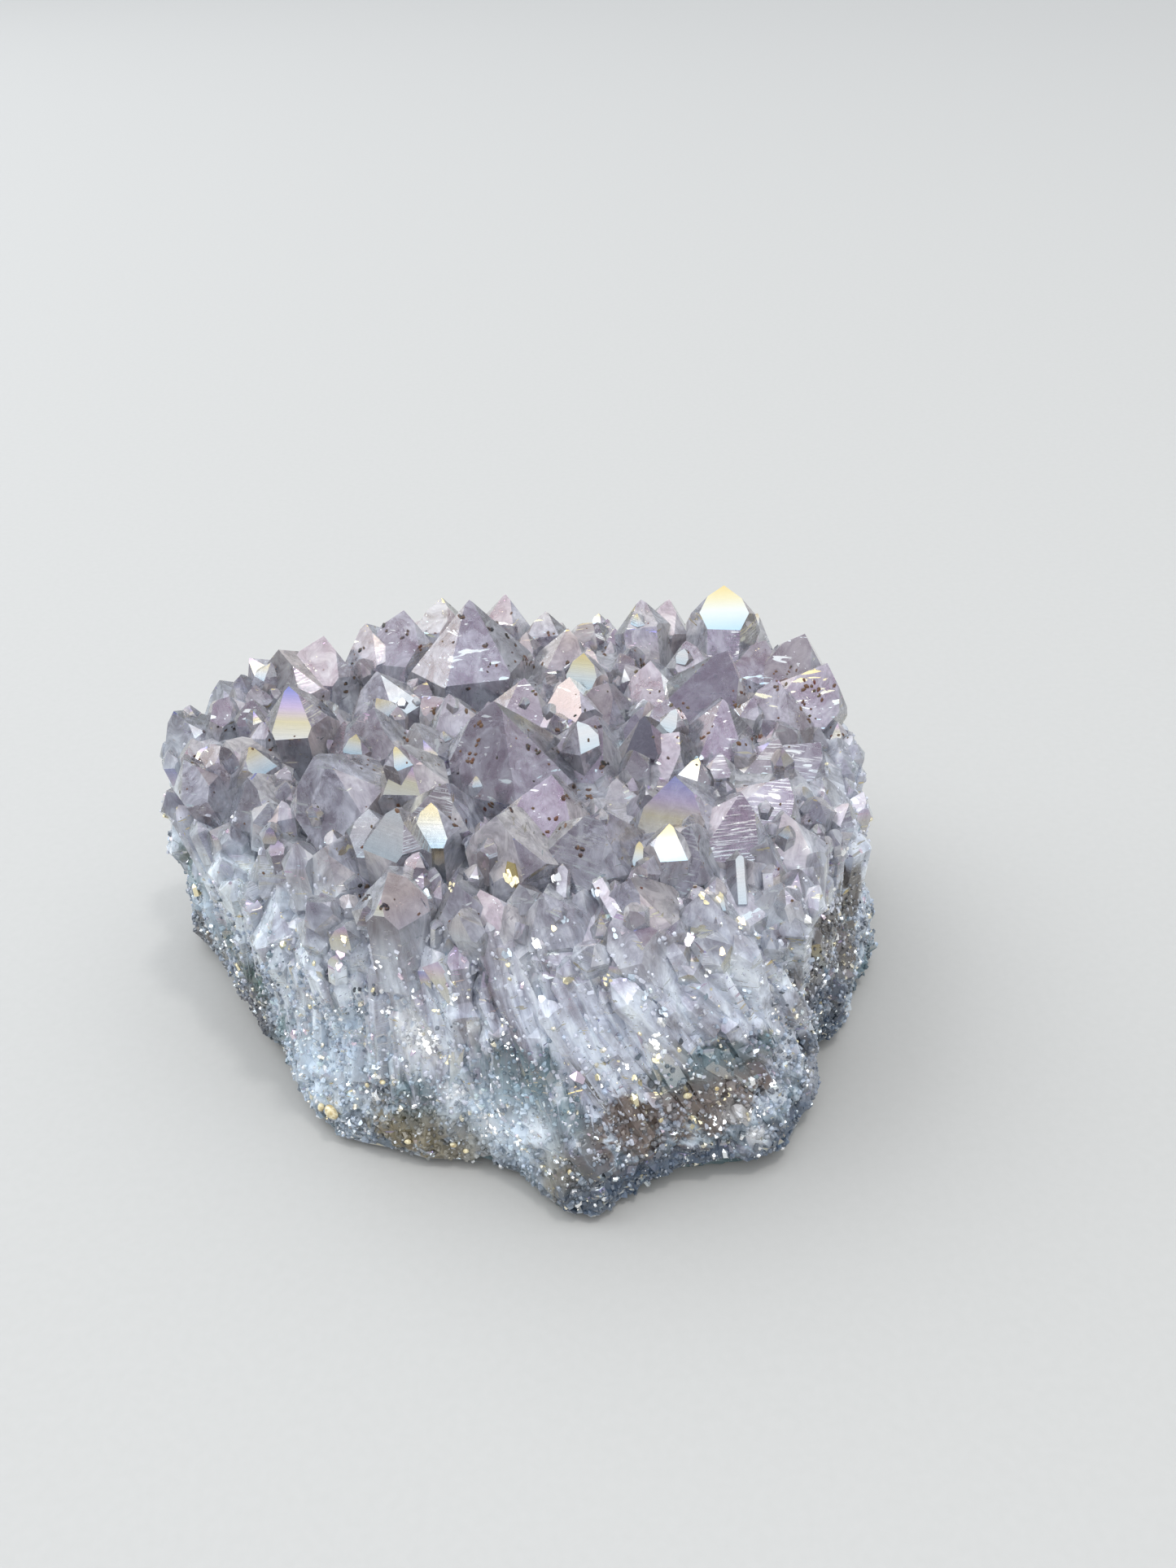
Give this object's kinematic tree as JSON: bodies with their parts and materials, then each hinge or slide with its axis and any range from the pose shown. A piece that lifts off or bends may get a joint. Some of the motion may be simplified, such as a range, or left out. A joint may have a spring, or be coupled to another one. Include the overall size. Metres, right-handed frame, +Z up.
{
  "type": "angel aura quartz cluster",
  "caption": "Fused crust of pale lilac quartz points with an iridescent metal film, standing on a thin rind of dark host rock with a flat underside.",
  "frame": {"origin": "under the middle of the cluster's bounding box, on the plane it rests on", "axes": "+Z up through the points, +X along the longest side, -Y towards the front with the toe"},
  "size_m": [0.09, 0.0796, 0.0433],
  "materials": {
    "quartz": "glossy, see-through at the tips and milky below, thin iridescent film",
    "host_rock": "rough, dark teal-grey"
  },
  "bodies": {
    "root": {"quartz_cluster": "quartz", "matrix_rind": "host_rock"}
  },
  "joints": []
}
